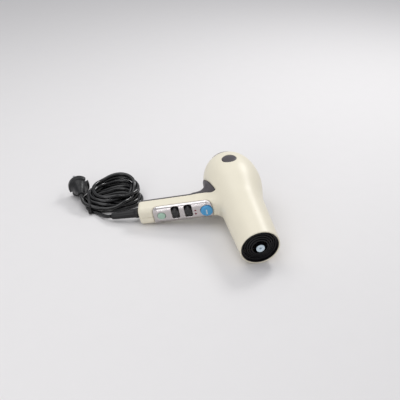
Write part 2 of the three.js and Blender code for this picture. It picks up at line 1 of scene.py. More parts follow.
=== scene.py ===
"""Hair dryer lying on its side with its tied mains cord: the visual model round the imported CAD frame.

The dryer is drawn in millimetres in its own frame (barrel axis Y, outlet at -Y, handle towards -X,
right side +Z) and set down in the frame's metres by one matrix, which comes from the joints' axes.
The cord is drawn in the frame's own axes, in millimetres, with the route that the CAD has.
"""
import json
import math

import bmesh
import bpy
import numpy as np
from mathutils import Matrix, Vector


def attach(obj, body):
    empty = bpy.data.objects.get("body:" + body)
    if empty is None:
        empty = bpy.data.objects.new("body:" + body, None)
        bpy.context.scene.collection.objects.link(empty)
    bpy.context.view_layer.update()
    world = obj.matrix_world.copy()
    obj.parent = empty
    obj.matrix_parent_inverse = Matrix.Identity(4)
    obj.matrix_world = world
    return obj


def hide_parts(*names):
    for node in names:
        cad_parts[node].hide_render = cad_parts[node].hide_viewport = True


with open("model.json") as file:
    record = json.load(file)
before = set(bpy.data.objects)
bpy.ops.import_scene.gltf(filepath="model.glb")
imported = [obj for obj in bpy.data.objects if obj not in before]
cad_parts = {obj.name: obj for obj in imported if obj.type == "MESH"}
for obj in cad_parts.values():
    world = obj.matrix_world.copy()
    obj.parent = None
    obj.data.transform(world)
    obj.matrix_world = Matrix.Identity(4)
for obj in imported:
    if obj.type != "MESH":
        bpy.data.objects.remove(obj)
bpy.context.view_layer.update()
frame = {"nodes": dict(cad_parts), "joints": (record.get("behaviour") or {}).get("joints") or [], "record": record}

MM = 0.001

# ---------- driving dimensions, as in the CAD, in millimetres ----------

WALL = 2.5
OUTLET_Y, OUTLET_R, RIM_WALL, GRILLE_RECESS = -154.0, 29.1, 1.9, 5.0
CONE_TOP_Y, CONE_SLOPE = -64.0, 0.043
BULGE_R, DOME_LENGTH, DOME_POWER = 44.6, 66.0, 2.3
SHELL_REAR_Y, CAP_REAR_Y = 51.0, 60.0

HANDLE_ROOT_Y, HANDLE_LENGTH, CORNER_R = -39.5, 156.0, 8.0
HALF_DEPTH = (15.6, 15.0)
HALF_WIDTH = (16.4, 15.2)
SEAM_V = -8.0
WEB_CENTRE, WEB_R, WEB_HALF = (-64.5, 12.0), 21.5, 15.0
WEB_X, WEB_Y = (-67.0, -19.0), (-30.0, 14.0)
TONGUE_START_U, TONGUE_TIP = 33.0, (-44.0, 24.0)

PANEL_START, PANEL_END, PANEL_SIDE_V = 38.0, 134.0, 9.0
SPEED_U, HEAT_U = 98.5, 78.5
ROCKER_LENGTH, ROCKER_HALF, ROCKER_W, ROCKER_DEPTH = 10.6, 9.6, 2.6, 3.0
ROCKER_TILT = math.radians(10)
COOL_U, COOL_R, COOL_PROUD = 50.5, 9.2, 3.0
ION_U, ION_R, ION_PROUD = 120.5, 6.1, 1.6
MARK_U, MARK_HEIGHT = 67.8, 0.16
BADGE_X, BADGE_Y, BADGE_R = 3.0, 12.0, 11.2
SEAM_GAP, PANEL_GAP, BADGE_GAP = 0.15, 0.2, 0.35
EMITTER_R, EMITTER_PROUD, EMITTER_HOLE_R, EMITTER_BACK = 6.2, 2.0, 1.3, 3.9
GRILLE_HUB_R, RING_START_R, RING_PITCH, RING_HALF, RIB_HALF = 8.6, 10.4, 3.1, 1.05, 0.7
INTAKE_SLOTS, INTAKE_SPOKE_HALF = ((6.5, 8.6), (10.8, 12.9), (15.1, 17.2), (19.4, 21.5)), 1.1
INTAKE_NECK_R, INTAKE_NECK_WALL, INTAKE_NECK_Y = 26.0, 0.9, 46.0
RELIEF_R, RELIEF_TIP_R, RELIEF_LENGTH = 7.2, 4.9, 45.0

CORD_R = 3.0
CORD_D = 2 * CORD_R
TIE_X, TIE_WIDTH = -150.0, 3.6
LEAD_ROUTE = [
    (-118.9, 54.3, 7.8), (-122, 55.1, 7.2), (-127.4, 60, 5.5), (-132.6, 67.2, 4),
    (-137.6, 75.2, 3.1), (-141.8, 83, 3.1),
]
TAIL_ROUTE = [
    (-137, 82.7, 13), (-145.3, 84.2, 12.2), (-152.6, 88.4, 12.4), (-158, 94.6, 14),
    (-160.4, 101, 16.8), (-161.2, 107.6, 18.9), (-161.7, 116, 18.7),
]
PLUG_HEAD, PLUG_HEADING, PLUG_ROLL = (-163.3, 144.4, 17.3), (-0.055, 0.997, -0.05), 0.94
PLUG_HEAD_R, PLUG_HEAD_HALF, PLUG_BODY = 17.0, 5.0, 33.0
PLUG_NOTCH = (5.2, 4.5)
PIN_R, PIN_LENGTH, PIN_SPACING = 2.4, 19.0, 19.0

# ---------- frames ----------

joints = {j["name"]: j for j in frame["joints"]}
barrel_axis = Vector(joints["rotor_spin"]["axis"]).normalized()
handle_axis = Vector(joints["speed_rocker_tilt"]["axis"]).normalized()
side_axis = barrel_axis.cross(handle_axis).normalized()
front_axis = side_axis.cross(handle_axis).normalized()
barrel_origin = Vector(joints["rotor_spin"]["pos_m"])


def basis(x, y, z, origin):
    """Matrix whose axes are x, y and z, taking millimetres to the frame's metres."""
    m = Matrix((x, y, z)).transposed().to_4x4()
    return Matrix.Translation(origin) @ m @ Matrix.Scale(MM, 4)


DRYER = basis(barrel_axis.cross(side_axis), barrel_axis, side_axis, barrel_origin)
HANDLE = basis(handle_axis, front_axis, side_axis, DRYER @ Vector((0, HANDLE_ROOT_Y, 0)))
WORLD = Matrix.Scale(MM, 4)
LEAN = handle_axis.angle(-(barrel_axis.cross(side_axis)))


# ---------- camera ----------

def camera():
    """Looks down from the front left, as far away as makes the dryer's perspective right."""
    azimuth, elevation, distance = math.radians(-12.14), math.radians(31), 1.00475
    target = Vector((0.0231, 0.0538, 0.02))
    back = Vector((
        math.sin(azimuth) * math.cos(elevation),
        -math.cos(azimuth) * math.cos(elevation),
        math.sin(elevation),
    ))
    data = bpy.data.cameras.new("camera")
    data.sensor_width = 36
    data.lens = 56.727
    cam = bpy.data.objects.new("camera", data)
    bpy.context.scene.collection.objects.link(cam)
    cam.location = target + back * distance
    cam.rotation_mode = "QUATERNION"
    cam.rotation_quaternion = (-back).to_track_quat("-Z", "Y")
    bpy.context.scene.camera = cam


camera()


# ---------- materials ----------

def plastic(name, colour, roughness, grain=0.25, grain_scale=900, shade=0.03, metallic=0.0, coat=0.0,
            specular=0.5, streaks=None):
    """Moulded surface: fine grain in its bump, slow drift in its colour and roughness."""
    material = bpy.data.materials.new(name)
    material.use_nodes = True
    tree = material.node_tree
    shader = tree.nodes["Principled BSDF"]
    shader.inputs["Metallic"].default_value = metallic
    shader.inputs["Coat Weight"].default_value = coat
    shader.inputs["Coat Roughness"].default_value = 0.12
    shader.inputs["Specular IOR Level"].default_value = specular
    place = tree.nodes.new("ShaderNodeTexCoord").outputs["Object"]
    if streaks:
        stretch = tree.nodes.new("ShaderNodeMapping")
        stretch.inputs["Scale"].default_value = streaks
        tree.links.new(place, stretch.inputs["Vector"])
        place = stretch.outputs["Vector"]

    def noise(scale, detail=3.0):
        node = tree.nodes.new("ShaderNodeTexNoise")
        node.inputs["Scale"].default_value = scale
        node.inputs["Detail"].default_value = detail
        tree.links.new(place, node.inputs["Vector"])
        return node.outputs["Fac"]

    ramp = tree.nodes.new("ShaderNodeValToRGB")
    ramp.color_ramp.elements[0].position = 0.3
    ramp.color_ramp.elements[1].position = 0.7
    for element, factor in zip(ramp.color_ramp.elements, (1 - shade, 1 + shade)):
        element.color = (*[min(1, c * factor) for c in colour], 1)
    tree.links.new(noise(35), ramp.inputs["Fac"])
    tree.links.new(ramp.outputs["Color"], shader.inputs["Base Color"])

    spread = tree.nodes.new("ShaderNodeMapRange")
    spread.inputs["To Min"].default_value = roughness * 0.88
    spread.inputs["To Max"].default_value = min(1, roughness * 1.12)
    tree.links.new(noise(120), spread.inputs["Value"])
    tree.links.new(spread.outputs["Result"], shader.inputs["Roughness"])

    bump = tree.nodes.new("ShaderNodeBump")
    bump.inputs["Strength"].default_value = grain
    bump.inputs["Distance"].default_value = 0.00005
    tree.links.new(noise(grain_scale, 2.0), bump.inputs["Height"])
    tree.links.new(bump.outputs["Normal"], shader.inputs["Normal"])
    return material


def linear(r, g, b):
    """Linear colour from 0-255 sRGB."""
    def one(c):
        c /= 255
        return c / 12.92 if c <= 0.04045 else ((c + 0.055) / 1.055) ** 2.4
    return one(r), one(g), one(b)


MAT = {
    "cream_shell": plastic("cream", linear(232, 225, 205), 0.4, grain=0.15, shade=0.012),
    "dark_grey_shell": plastic("dark_grey", linear(72, 67, 71), 0.4, grain=0.4),
    "black_plastic": plastic("black_plastic", linear(11, 9, 13), 0.36, grain=0.4, specular=0.35),
    "silver_panel": plastic("silver_panel", (0.66, 0.62, 0.62), 0.13, metallic=1.0, grain=0.08, shade=0.02),
    "switch_black": plastic("switch_black", linear(30, 29, 32), 0.3, grain=0.2),
    "blue_button": plastic("blue_button", linear(70, 156, 210), 0.26, coat=0.3),
    "mint_button": plastic("mint_button", linear(165, 196, 178), 0.3, coat=0.3),
    "pale_blue_disc": plastic("pale_blue_disc", linear(206, 222, 232), 0.25, coat=0.3),
    "steel": plastic("steel", (0.62, 0.63, 0.65), 0.28, metallic=1.0, grain=0.2, streaks=(1, 1, 8)),
    "filter_mesh": plastic("filter_mesh", (0.2, 0.2, 0.21), 0.45, metallic=1.0, grain=1.0),
    "brass": plastic("brass", (0.5, 0.36, 0.12), 0.33, metallic=1.0, grain=0.4),
    "mica": plastic("mica", linear(184, 168, 138), 0.65, grain=0.8, shade=0.12, streaks=(1, 4, 1)),
    "heating_wire": plastic("heating_wire", (0.2, 0.18, 0.17), 0.4, metallic=1.0, shade=0.2),
    "soft_black": plastic("soft_black", linear(17, 15, 18), 0.36, grain=0.5, specular=0.4),
    "cord_black": plastic("cord_black", linear(9, 9, 11), 0.16, grain=0.2, specular=0.6),
    "plug_black": plastic("plug_black", linear(19, 19, 21), 0.36, grain=0.7, grain_scale=1400,
                          specular=0.4),
    "rib_white": plastic("rib_white", linear(196, 208, 214), 0.35),
    "mark_red": plastic("mark_red", linear(120, 24, 44), 0.45),
}


# ---------- mesh helpers ----------


def piece(name, vertices, faces, matrix, material, body, normals=None, smooth=True, replaces=()):
    """A mesh in millimetres, moved into the frame, finished, and riding on a body."""
    mesh = bpy.data.meshes.new(name)
    mesh.from_pydata([tuple(v) for v in vertices], [], [tuple(f) for f in faces])
    mesh.transform(matrix)
    mesh.validate()
    if smooth:
        mesh.polygons.foreach_set("use_smooth", [True] * len(mesh.polygons))
    obj = bpy.data.objects.new(name, mesh)
    bpy.context.scene.collection.objects.link(obj)
    if normals is not None:
        turn = np.array(matrix.to_3x3().normalized())
        mesh.normals_split_custom_set_from_vertices((normals @ turn.T).tolist())
    mesh.materials.append(MAT[material])
    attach(obj, body)
    if replaces:
        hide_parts(*replaces)
    return obj


def lathe(outline, segments=64):
    """Vertices and faces of [radius, height] points turned round Y; ends on the axis close."""
    rings, vertices, faces = [], [], []
    for radius, y in outline:
        if radius < 1e-6:
            rings.append([len(vertices)])
            vertices.append((0, y, 0))
            continue
        rings.append(range(len(vertices), len(vertices) + segments))
        for i in range(segments):
            a = 2 * math.pi * i / segments
            vertices.append((radius * math.cos(a), y, -radius * math.sin(a)))
    closed = len(rings[0]) > 1 and len(rings[-1]) > 1
    pairs = list(zip(rings, rings[1:])) + ([(rings[-1], rings[0])] if closed else [])
    for low, high in pairs:
        for i in range(segments):
            j = (i + 1) % segments
            if len(low) == 1:
                faces.append((low[0], high[j], high[i]))
            elif len(high) == 1:
                faces.append((low[i], low[j], high[0]))
            else:
                faces.append((low[i], low[j], high[j], high[i]))
    return vertices, faces


def rounded(outline, radius, steps=4):
    """The outline with each inner corner replaced by a small arc."""
    points = [np.array(p, float) for p in outline]
    made = [points[0]]
    for before, at, after in zip(points, points[1:], points[2:]):
        reach = min(radius, np.linalg.norm(before - at) / 2.2, np.linalg.norm(after - at) / 2.2)
        start = at + (before - at) / np.linalg.norm(before - at) * reach
        end = at + (after - at) / np.linalg.norm(after - at) * reach
        for k in range(steps + 1):
            t = k / steps
            made.append((1 - t) ** 2 * start + 2 * t * (1 - t) * at + t * t * end)
    made.append(points[-1])
    return [tuple(p) for p in made]


# ---------- fields: shapes as signed distances on numpy arrays, in millimetres ----------

def smax(a, b, r):
    """The larger of two fields, with a fillet about r wide where they meet."""
    h = np.maximum(r - np.abs(a - b), 0) / r
    return np.maximum(a, b) + h * h * r / 4


def smin(a, b, r):
    """The smaller of two fields, with a fillet about r wide where they meet."""
    return -smax(-a, -b, r)


def ramp(x, x0, x1):
    """Rises smoothly from 0 at x0 to 1 at x1."""
    t = np.clip((x - x0) / (x1 - x0), 0, 1)
    return t * t * (3 - 2 * t)


def barrel_radius(y):
    cone = OUTLET_R + (y - OUTLET_Y) * CONE_SLOPE
    along = np.clip(y, 0, DOME_LENGTH - 0.5) / DOME_LENGTH
    bulge = BULGE_R * np.sqrt(np.clip(1 - along ** DOME_POWER, 1e-4, 1))
    t = ramp(y, CONE_TOP_Y, 0)
    return np.where(y >= 0, bulge, cone + (BULGE_R - cone) * t)


def barrel_field(x, y, z):
    slope = barrel_radius(y + 0.5) - barrel_radius(y - 0.5)
    return (np.hypot(x, z) - barrel_radius(y)) / np.sqrt(1 + slope * slope)


def to_handle(x, y):
    """u and v of the handle's frame; w is z."""
    dy = y - HANDLE_ROOT_Y
    c, s = math.cos(LEAN), math.sin(LEAN)
    return -c * x + s * dy, -s * x - c * dy


def half_depth(u):
    return HALF_DEPTH[0] + (HALF_DEPTH[1] - HALF_DEPTH[0]) * u / HANDLE_LENGTH


def half_width(u):
    return HALF_WIDTH[0] + (HALF_WIDTH[1] - HALF_WIDTH[0]) * u / HANDLE_LENGTH


def handle_side(u, v, w):
    """Distance from the handle's long sides."""
    qv = np.abs(v) - (half_depth(u) - CORNER_R)
    qw = np.abs(w) - (half_width(u) - CORNER_R)
    return np.hypot(np.maximum(qv, 0), np.maximum(qw, 0)) + np.minimum(np.maximum(qv, qw), 0) - CORNER_R


def body_field(x, y, z):
    """Barrel and handle as one skin, with a small fillet between them and a web behind the handle."""
    u, v = to_handle(x, y)
    handle = smax(handle_side(u, v, z), u - HANDLE_LENGTH, 6.0)
    handle = np.maximum(handle, 10 - u)
    skin = smin(barrel_field(x, y, z), handle, 9.0)
    scoop = WEB_R - np.hypot(x - WEB_CENTRE[0], y - WEB_CENTRE[1])
    block = np.maximum(np.maximum(WEB_X[0] - x, x - WEB_X[1]), np.maximum(WEB_Y[0] - y, y - WEB_Y[1]))
    web = smax(np.maximum(scoop, block), np.abs(z) - WEB_HALF, 9.0)
    return smin(skin, web, 5.0)


def back_field(x, y):
    """Inside, below zero, is the dark back shell."""
    u, v = to_handle(x, y)
    seam = v - (SEAM_V + (-3 - SEAM_V) * ramp(u, 52, TONGUE_START_U))
    c, s = math.cos(LEAN), math.sin(LEAN)
    start = np.array((-c * TONGUE_START_U + 3 * s, HANDLE_ROOT_Y + s * TONGUE_START_U + 3 * c))
    run = np.array(TONGUE_TIP) - start
    run = run / np.linalg.norm(run)
    tongue = (x - start[0]) * run[1] - (y - start[1]) * run[0]
    return smax(seam, tongue, 1.5)


def panel_field(u, v):
    """Inside, below zero, is the switch panel."""
    middle, half = (PANEL_START + PANEL_END) / 2, (PANEL_END - PANEL_START) / 2
    r = np.where(u < middle, 15.0, 9.0)
    qu = np.abs(u - middle) - (half - r)
    qv = PANEL_SIDE_V + r - v
    return np.hypot(np.maximum(qu, 0), np.maximum(qv, 0)) + np.minimum(np.maximum(qu, qv), 0) - r


def badge_place(side):
    """Position, outward normal and an in-surface direction of the badge's middle."""
    radius = float(barrel_radius(np.array(BADGE_Y)))
    slope = float(barrel_radius(np.array(BADGE_Y + 1.0)) - barrel_radius(np.array(BADGE_Y - 1.0))) / 2
    z = math.sqrt(radius ** 2 - BADGE_X ** 2)
    at = Vector((BADGE_X, BADGE_Y, side * z))
    normal = Vector((BADGE_X / radius, -slope, side * z / radius)).normalized()
    along = Vector((0, 1, slope * side)).normalized()
    return at, normal, along


def badge_pocket(x, y, z, side):
    """The round recess that a badge sits in."""
    at, normal, _ = badge_place(side)
    dx, dy, dz = x - at.x, y - at.y, z - at.z
    out = dx * normal.x + dy * normal.y + dz * normal.z
    across = np.sqrt(np.maximum(dx * dx + dy * dy + dz * dz - out * out, 0))
    return np.maximum(across - (BADGE_R + BADGE_GAP), np.abs(out) - 4)


def shell_field(x, y, z):
    """The moulded wall, open at the outlet and at the intake."""
    skin = body_field(x, y, z)
    bore = np.hypot(x, z) - (OUTLET_R - RIM_WALL)
    recess = np.maximum(bore, y - (OUTLET_Y + GRILLE_RECESS + 9))
    hollow = np.minimum(skin + WALL, recess)
    wall = smax(skin, -hollow, 0.9)
    wall = smax(wall, OUTLET_Y - y, 1.6)
    wall = smax(wall, y - SHELL_REAR_Y, 1.2)
    u, v = to_handle(x, y)
    relief = np.maximum(np.hypot(v, z) - (RELIEF_R + 0.4), HANDLE_LENGTH - 16 - u)
    return smax(wall, -relief, 1.0)


def cream_field(x, y, z):
    """The cream housing: the wall less the back shell, the panel and the badges."""
    u, v = to_handle(x, y)
    wall = smax(shell_field(x, y, z), SEAM_GAP - back_field(x, y), 1.3)
    wall = smax(wall, PANEL_GAP - panel_field(u, v), 1.3)
    for side in (-1, 1):
        wall = smax(wall, -badge_pocket(x, y, z, side), 0.8)
    return wall


def back_shell_field(x, y, z):
    return smax(shell_field(x, y, z), back_field(x, y) + SEAM_GAP, 1.3)


def surface(field, low, high, cell, steps=4):
    """Surface nets over a grid, pulled onto the field's zero: vertices, quads and exact normals."""
    axes = [np.arange(a, b + cell, cell) for a, b in zip(low, high)]
    grid = np.empty([len(a) for a in axes], np.float32)
    for i, x in enumerate(axes[0]):
        y, z = np.meshgrid(axes[1], axes[2], indexing="ij")
        grid[i] = field(np.full_like(y, x), y, z)
    inside = grid < 0
    nx, ny, nz = (n - 1 for n in grid.shape)
    total = np.zeros((nx, ny, nz, 3), np.float32)
    count = np.zeros((nx, ny, nz), np.float32)
    corners = [(i, j, k) for i in (0, 1) for j in (0, 1) for k in (0, 1)]
    for a in corners:
        for axis in range(3):
            if a[axis]:
                continue
            b = tuple(1 if n == axis else c for n, c in enumerate(a))
            va = grid[a[0]:a[0] + nx, a[1]:a[1] + ny, a[2]:a[2] + nz]
            vb = grid[b[0]:b[0] + nx, b[1]:b[1] + ny, b[2]:b[2] + nz]
            cross = (va < 0) != (vb < 0)
            t = np.where(cross, va / np.where(cross, va - vb, 1), 0)
            for n in range(3):
                total[..., n] += cross * (a[n] + (t if n == axis else 0))
            count += cross
    used = count > 0
    number = np.full(used.shape, -1, np.int64)
    number[used] = np.arange(used.sum())
    where = np.argwhere(used)
    points = where + total[used] / count[used][:, None]
    points = points * cell + np.array(low)
    quads = []
    for axis in range(3):
        p, q = [n for n in range(3) if n != axis]
        ahead = np.take(inside, range(1, inside.shape[axis]), axis)
        here = np.take(inside, range(inside.shape[axis] - 1), axis)
        edges = np.argwhere(ahead != here)
        edges = edges[(edges[:, p] > 0) & (edges[:, q] > 0)
                      & (edges[:, p] < number.shape[p]) & (edges[:, q] < number.shape[q])]
        ring = []
        for dp, dq in ((0, 0), (1, 0), (1, 1), (0, 1)):
            cells = edges.copy()
            cells[:, p] -= dp
            cells[:, q] -= dq
            ring.append(number[tuple(cells.T)])
        quad = np.stack(ring, 1)
        flip = here[tuple(edges.T)] == (axis == 1)
        quad[flip] = quad[flip][:, ::-1]
        quads.append(quad)
    quads = np.concatenate(quads)
    eps = 0.05
    for step in range(steps + 1):
        x, y, z = points.T
        value = field(x, y, z)
        gradient = np.stack([
            field(x + eps, y, z) - field(x - eps, y, z),
            field(x, y + eps, z) - field(x, y - eps, z),
            field(x, y, z + eps) - field(x, y, z - eps),
        ], 1) / (2 * eps)
        size = np.linalg.norm(gradient, axis=1, keepdims=True)
        normals = gradient / np.maximum(size, 1e-6)
        if step < steps:
            move = -value[:, None] * gradient / np.maximum(size ** 2, 0.25)
            points = points + np.clip(move, -cell / 2, cell / 2) * 0.9
    return points, quads, normals


# ---------- cord ----------

def smooth_path(points, spacing):
    """Points at even spacing along a centripetal-like spline through the given ones."""
    pts = np.array(points, float)
    ends = np.vstack([2 * pts[0] - pts[1], pts, 2 * pts[-1] - pts[-2]])
    dense = []
    for a, b, c, d in zip(ends, ends[1:], ends[2:], ends[3:]):
        for t in np.linspace(0, 1, 12, endpoint=False):
            dense.append(0.5 * (2 * b + (c - a) * t + (2 * a - 5 * b + 4 * c - d) * t * t
                                + (3 * b - a - 3 * c + d) * t ** 3))
    dense.append(pts[-1])
    dense = np.array(dense)
    run = np.concatenate([[0], np.cumsum(np.linalg.norm(np.diff(dense, axis=0), axis=1))])
    even = np.linspace(0, run[-1], max(2, round(run[-1] / spacing) + 1))
    return np.stack([np.interp(even, run, dense[:, n]) for n in range(3)], 1)


# Each turn of the hank: the fold at the tie (centre x, centre y, radius, height), then
# the fold at the far end (centre x, centre y, radius, height in front, height at the back).
TURNS = [
    (-134, 106, 24, 3, -95, 109, 32, 3, 3),
    (-134, 107, 18, 3, -97, 110, 25, 3, 3),
    (-134, 107, 19, 9, -100, 114, 25, 9, 9),
    (-133, 107, 25, 9, -98, 116, 33, 8, 11),
    (-128, 109, 26, 15, -102, 120, 26, 13, 18),
    (-127, 111, 21, 15, -99, 121, 33, 13, 19),
    (-121, 113, 23, 21, -100, 124, 25, 18, 27),
    (-118, 115, 31, 23, -98, 123, 31, 22, 32),
    (-116, 116, 27, 29, -98, 126, 27, 26, 38),
]
FRONT_RUN = [(-80, 92, 17), (-95, 82, 16), (-110, 79, 14.5), (-124, 80, 13.5)]
POINTS_PER_TURN = 24


def blend(a, b, t):
    return [x + (y - x) * t for x, y in zip(a, b)]


def ease(t):
    t = max(0, min(1, t))
    return t * t * (3 - 2 * t)


def hank_points():
    """The hank's turns one after another, clockwise from above, from the tie to the far fold and back."""
    start, points = math.radians(224), []
    for number, turn in enumerate(TURNS):
        following = TURNS[min(number + 1, len(TURNS) - 1)]
        for k in range(POINTS_PER_TURN):
            share = k / POINTS_PER_TURN
            angle = start - 2 * math.pi * share
            near_x, near_y, near_r, near_z = blend(turn[:4], following[:4], ease((share - 0.6) / 0.4))
            far_x, far_y, far_r, front_z, back_z = turn[4:]
            far_z = front_z + (back_z - front_z) * (0.5 + 0.5 * math.sin(angle))
            along = math.cos(angle - math.atan2(far_y - near_y, far_x - near_x))
            x, y, r, z = blend((near_x, near_y, near_r, near_z), (far_x, far_y, far_r, far_z),
                               ease(0.5 + 0.9 * along))
            points.append((x + r * math.cos(angle), y + r * math.sin(angle), z))
    return points[2:-7]


def settle(path, fixed, rounds, sink=0.05, push_share=0.4, bend_share=0.4, smoothing=0.1, ceiling=38):
    """Lets the turns push each other apart, keep their length and bend, and lie down."""
    p = path.copy()
    count = len(p)
    spacing = np.linalg.norm(np.diff(path, axis=0), axis=1).mean()
    free = np.ones(count, bool)
    free[:fixed[0]] = False
    free[count - fixed[1]:] = False
    near = np.abs(np.subtract.outer(np.arange(count), np.arange(count))) < 5
    span = round(4 * CORD_D / spacing)
    bend_r = 3.2 * CORD_D
    chord = 2 * bend_r * math.sin(span * spacing / (2 * bend_r))
    for _ in range(rounds):
        p[free, 2] -= sink
        for _ in range(3):
            gap = p[:, None, :] - p[None, :, :]
            distance = np.sqrt((gap ** 2).sum(2)) + 1e-9
            push = np.where((distance < CORD_D) & ~near, (CORD_D - distance) / distance, 0)
            p += np.where(free[:, None], push_share * (push[:, :, None] * gap).sum(1), 0)
            for k, want in ((1, spacing), (span, chord)):
                d = p[k:] - p[:-k]
                length = np.linalg.norm(d, axis=1, keepdims=True)
                fix = (length - want) / length * d
                if k > 1:
                    fix = np.where(length < want, fix, 0) * bend_share
                p[:-k] += 0.5 * fix * free[:-k, None]
                p[k:] -= 0.5 * fix * free[k:, None]
            p[1:-1] += smoothing * free[1:-1, None] * ((p[:-2] + p[2:]) / 2 - p[1:-1])
            p[:, 2] = np.where(free, np.clip(p[:, 2], CORD_R, ceiling), p[:, 2])
    return p


def cord():
    """The settled cord as one tube, its centreline in millimetres and its length in metres."""
    path = smooth_path(LEAD_ROUTE + hank_points() + FRONT_RUN + TAIL_ROUTE, 3.5)
    path = settle(path, (9, 12), 160)
    path = smooth_path(np.vstack([path[:-1:2], path[-1:]]), 2.2)
    curve = bpy.data.curves.new("mains_cord", "CURVE")
    curve.dimensions = "3D"
    curve.bevel_depth = CORD_R * MM
    curve.bevel_resolution = 5
    curve.use_fill_caps = True
    spline = curve.splines.new("POLY")
    spline.points.add(len(path) - 1)
    for point, at in zip(spline.points, path):
        point.co = (*[c * MM for c in at], 1)
    obj = bpy.data.objects.new("mains_cord", curve)
    bpy.context.scene.collection.objects.link(obj)
    curve.materials.append(MAT["cord_black"])
    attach(obj, "dryer")
    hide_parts("cord_hank", "cord_lead", "cord_tail")
    length = float(np.linalg.norm(np.diff(path, axis=0), axis=1).sum()) * MM
    return obj, path, length


def strap_section(path):
    """Points (y, z) of the strands where the tie crosses them."""
    return path[np.abs(path[:, 0] - TIE_X) < TIE_WIDTH / 2 + CORD_R / 2][:, 1:]


def tie(path):
    """A flat strap drawn tight round the bundle."""
    near = strap_section(path)
    section = rounded([(0, 0.1), (-1.7, 0.15), (-1.75, 0.9), (0, 1.2), (1.75, 0.9), (1.7, 0.15), (0, 0.1)],
                      0.35, 3)[:-1]
    around, vertices, faces = 120, [], []
    for k in range(around):
        angle = 2 * math.pi * k / around
        normal = np.array((math.cos(angle), math.sin(angle)))
        reach = near[np.argmax(near @ normal)] + normal * CORD_R
        for across, out in section:
            y, z = reach + normal * out
            vertices.append((TIE_X + across, y, max(z, 0.1 + 0.1 * out)))
    n = len(section)
    for k in range(around):
        for i in range(n):
            after = (k + 1) % around
            faces.append((k * n + i, k * n + (i + 1) % n, after * n + (i + 1) % n, after * n + i))
    return piece("cord_tie_strap", vertices, faces, WORLD, "soft_black", "dryer", replaces=("cord_tie",))


def knot(path):
    """The twisted ends of the tie, a lumpy ball in front of the strap."""
    front = strap_section(path)[:, 0].min() - CORD_R
    mesh = bmesh.new()
    bmesh.ops.create_icosphere(mesh, subdivisions=4, radius=1)
    for v in mesh.verts:
        lump = 1 + 0.14 * math.sin(5 * v.co.x + 2) * math.cos(4 * v.co.z) + 0.1 * math.sin(7 * v.co.y)
        ball = Vector((v.co.x * 2.9, v.co.y * 2.6, v.co.z * 3.1))
        v.co = ball * lump + Vector((TIE_X, front - 1.6, 3.9))
    vertices = [v.co.copy() for v in mesh.verts]
    faces = [[v.index for v in f.verts] for f in mesh.faces]
    mesh.free()
    return piece("cord_tie_knot", vertices, faces, WORLD, "soft_black", "dryer")


def plug_matrix():
    axis = Vector(PLUG_HEADING).normalized()
    aim = Vector((0, 1, 0)).rotation_difference(axis)
    roll = Matrix.Rotation(PLUG_ROLL, 4, "Y")
    return WORLD @ Matrix.Translation(PLUG_HEAD) @ aim.to_matrix().to_4x4() @ roll


def plug_field(x, y, z):
    """Round head with a slot at each side, a waisted grip with finger ribs, and a collar for the cord."""
    back, head = -PLUG_BODY, PLUG_HEAD_HALF
    rho = np.hypot(x, z)
    stations = [back, back + 7, back + 13, -head - 7, -head - 2, 0]
    grip = rho - np.interp(y, stations, [5.2, 5.8, 8.2, 11, 14, 16])
    ribs = 0.35 * np.maximum(0, np.cos((y - back) * 2 * math.pi / 3.2)) * ramp(y, back + 16, back + 8)
    grip = smax((grip + ribs) * 0.75, back - y, 1.5)
    disc = smax(rho - PLUG_HEAD_R, np.abs(y) - head, 2.0)
    shape = smax(smin(grip, disc, 3.0), y - head, 1.5)
    width, depth = PLUG_NOTCH
    notch = smax(np.abs(x) - width / 2, PLUG_HEAD_R - depth - np.abs(z), 1.5)
    shape = smax(shape, -notch, 1.0)
    bore = np.maximum(rho - (CORD_R + 0.05), y - (back + 6.3))
    shape = smax(shape, -bore, 0.6)
    for side in (-1, 1):
        socket = np.maximum(np.hypot(x - side * PIN_SPACING / 2, z) - (PIN_R + 0.15), head - 5 - y)
        shape = smax(shape, -socket, 0.6)
    return shape


def plug():
    reach = PLUG_HEAD_R + 2
    points, quads, normals = surface(
        plug_field, (-reach, -PLUG_BODY - 2, -reach), (reach, PLUG_HEAD_HALF + 2, reach), 0.8)
    body = piece("plug_moulding", points, quads, plug_matrix(), "plug_black", "dryer", normals,
                 replaces=("plug_body",))
    made = [body]
    y0 = PLUG_HEAD_HALF - 4
    tip = PLUG_HEAD_HALF + PIN_LENGTH
    outline = rounded([(0, y0), (PIN_R, y0), (PIN_R, tip - 2.2), (PIN_R - 1.1, tip), (0, tip)], 1.2)
    for i, side in enumerate((-1, 1)):
        vertices, faces = lathe(outline, 32)
        shift = plug_matrix() @ Matrix.Translation((side * PIN_SPACING / 2, 0, 0))
        made.append(piece(f"plug_pin_metal_{i + 1}", vertices, faces, shift, "steel", "dryer",
                          replaces=(f"plug_pin_{i + 1}",)))
    return made


cord_obj, cord_path, cord_length = cord()
cord_extras = [tie(cord_path), knot(cord_path), *plug()]


# ---------- casings ----------

def casings():
    """The two cream housing halves, parted at the middle plane, and the dark back shell."""
    cell = 1.1
    for side, node in ((1, "right_housing"), (-1, "left_housing")):
        low = (-172, OUTLET_Y - 3, -2 if side > 0 else -47)
        high = (47, SHELL_REAR_Y + 3, 47 if side > 0 else 2)
        points, quads, normals = surface(
            lambda x, y, z: smax(cream_field(x, y, z), 0.06 - side * z, 0.35), low, high, cell)
        piece(node + "_shell", points, quads, DRYER, "cream_shell", "dryer", normals, replaces=(node,))
    points, quads, normals = surface(back_shell_field, (-172, -75, -30), (-15, 45, 30), cell)
    piece("back_shell_skin", points, quads, DRYER, "dark_grey_shell", "dryer", normals,
          replaces=("back_shell",))


casings()


